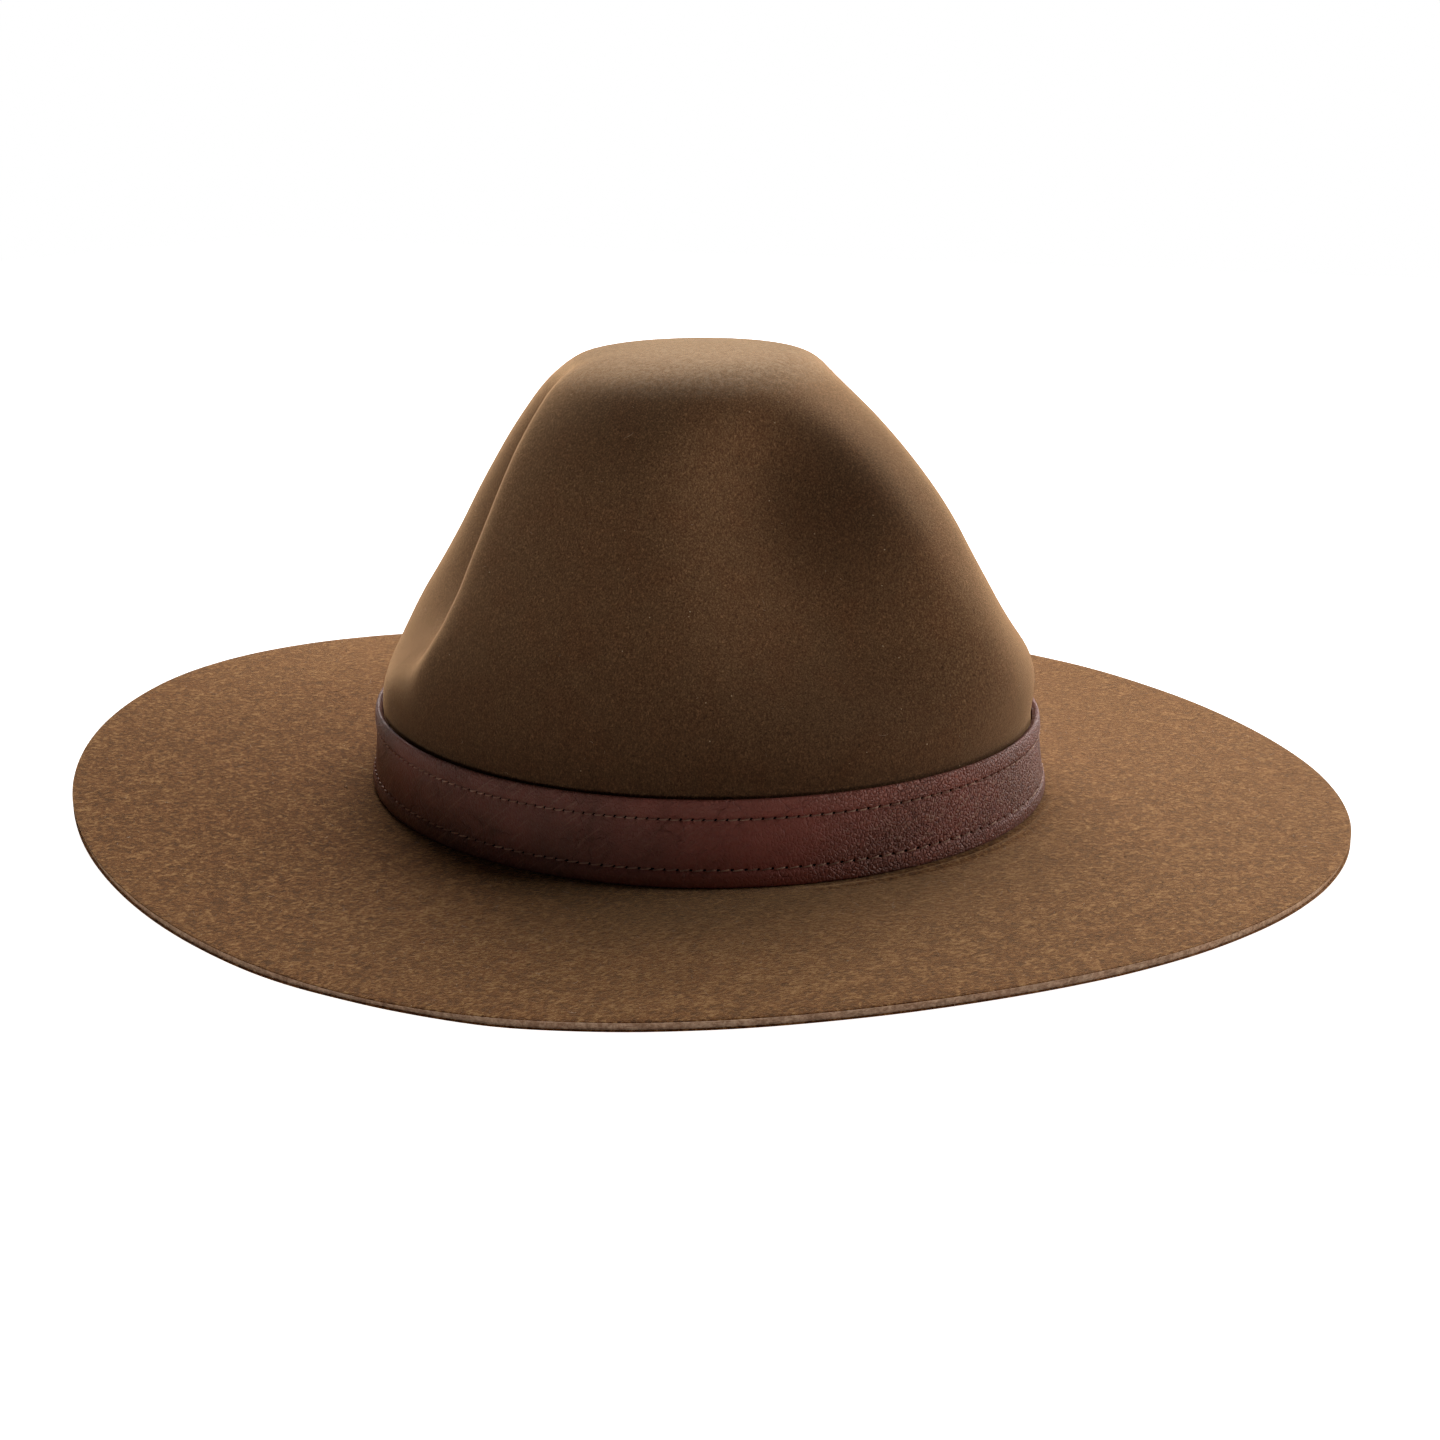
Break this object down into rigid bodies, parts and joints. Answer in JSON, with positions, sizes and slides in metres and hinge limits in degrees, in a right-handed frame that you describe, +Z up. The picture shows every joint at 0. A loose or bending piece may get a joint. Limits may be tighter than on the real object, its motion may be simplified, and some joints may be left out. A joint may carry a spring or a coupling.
{
  "type": "campaign hat",
  "caption": "Felt campaign hat: tall peaked crown pressed in at its corners, wide nearly flat brim, stitched leather band with rolled edges.",
  "frame": {"origin": "middle of the brim in plan, at the level of the surface the brim rests on", "axes": "+Z up, -Y towards the front of the hat, +X towards the wearer's left"},
  "size_m": [0.3422, 0.3684, 0.1289],
  "materials": {
    "brown_felt": "matt felt, short nap",
    "dark_leather": "satin, fine grain"
  },
  "bodies": {
    "root": {"felt_body": "brown_felt", "hat_band": "dark_leather"}
  },
  "joints": []
}
